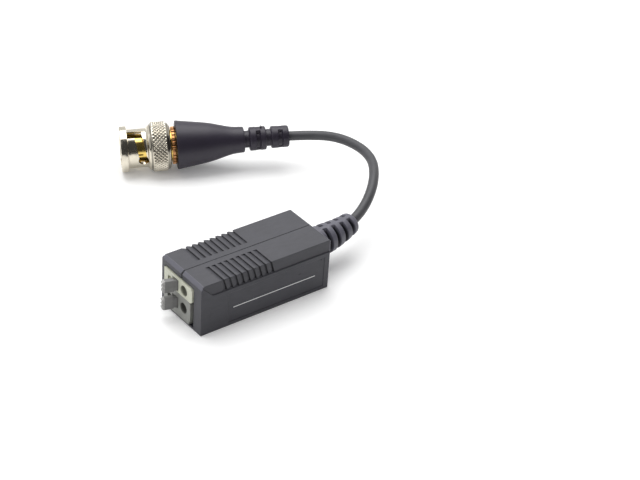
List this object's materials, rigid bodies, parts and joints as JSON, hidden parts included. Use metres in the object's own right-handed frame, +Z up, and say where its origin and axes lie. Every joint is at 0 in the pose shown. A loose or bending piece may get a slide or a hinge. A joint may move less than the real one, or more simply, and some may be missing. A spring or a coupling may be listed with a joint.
{
  "type": "video balun",
  "caption": "Passive video balun: boxy two-part housing with a lever clamp terminal at its front and a short coaxial cord ending in a bayonet plug.",
  "frame": {"origin": "centre of the housing's flat underside, on the plane where its two halves meet", "axes": "+X from the terminal end towards the cord end, +Z up away from the surface it lies on, +Y towards the side where the cord's plug lies"},
  "size_m": [0.0848, 0.0859, 0.0148],
  "materials": {
    "housing": "fine matt moulded, charcoal grey",
    "cream_moulding": "satin moulded, cream",
    "grey_moulding": "satin moulded, light grey",
    "lever_moulding": "satin moulded, mid grey",
    "board": "green coated laminate",
    "ferrite": "dull dark ferrite",
    "enamelled_wire": "enamelled copper",
    "tinned_metal": "tinned, satin",
    "spring_steel": "bright spring strip",
    "component_body": "dipped coating",
    "relief_moulding": "soft matt moulded, dark charcoal",
    "cord_jacket": "soft matt jacket, mid grey",
    "white_dielectric": "satin white",
    "nickel": "bright nickel plate",
    "gilt": "bright gold plate",
    "boot_moulding": "soft matt moulded, dark charcoal",
    "gasket_rubber": "soft, pale"
  },
  "bodies": {
    "housing": {"housing_near_half": "housing", "housing_far_half": "housing", "circuit_board": "board", "balun_core": "ferrite", "winding_upper": "enamelled_wire", "winding_lower": "enamelled_wire", "surge_suppressor": "component_body", "filter_capacitor": "component_body", "matching_resistor": "component_body", "coax_core_tail": "white_dielectric", "coax_braid_tail": "tinned_metal", "coax_cable": "cord_jacket", "strain_relief": "relief_moulding", "terminal_pole_cream": "cream_moulding", "terminal_pole_grey": "grey_moulding", "contact_upper": "tinned_metal", "contact_lower": "tinned_metal", "clamp_spring_upper": "spring_steel", "clamp_spring_lower": "spring_steel", "plug_body": "gilt", "plug_dielectric": "white_dielectric", "centre_pin": "gilt", "gasket": "gasket_rubber", "wave_washer": "spring_steel", "crimp_ferrule": "nickel", "coax_plug_end": "cord_jacket", "plug_boot": "boot_moulding"},
    "lever_upper": {"lever_upper": "lever_moulding"},
    "lever_lower": {"lever_lower": "lever_moulding"},
    "nut_washer": {"thrust_washer": "nickel"},
    "coupling_nut": {"coupling_sleeve": "nickel"}
  },
  "joints": [
    {"name": "lever_upper_press", "type": "hinge", "parent": "housing", "child": "lever_upper", "pos_m": [-0.0182, 0.001, 0.00985], "axis": [0, 0, -1], "range_deg": [0, 13], "stiffness_Nm_per_rad": 0.02, "springref_deg": -8.59, "deforming": ["clamp_spring_upper"]},
    {"name": "lever_lower_press", "type": "hinge", "parent": "housing", "child": "lever_lower", "pos_m": [-0.0182, 0.001, 0.00455], "axis": [0, 0, -1], "range_deg": [0, 13], "stiffness_Nm_per_rad": 0.02, "springref_deg": -8.59, "deforming": ["clamp_spring_lower"]},
    {"name": "nut_draw", "type": "slide", "parent": "housing", "child": "nut_washer", "axis": [-0.8823, 0.4672, -0.0567], "range_m": [0, 0.0006], "stiffness_N_per_m": 4000, "springref_m": -0.0005, "deforming": ["wave_washer"]},
    {"name": "nut_turn", "type": "hinge", "parent": "nut_washer", "child": "coupling_nut", "pos_m": [0.01712, 0.06474, 0.00745], "axis": [-0.8823, 0.4672, -0.0567], "continuous": true}
  ]
}
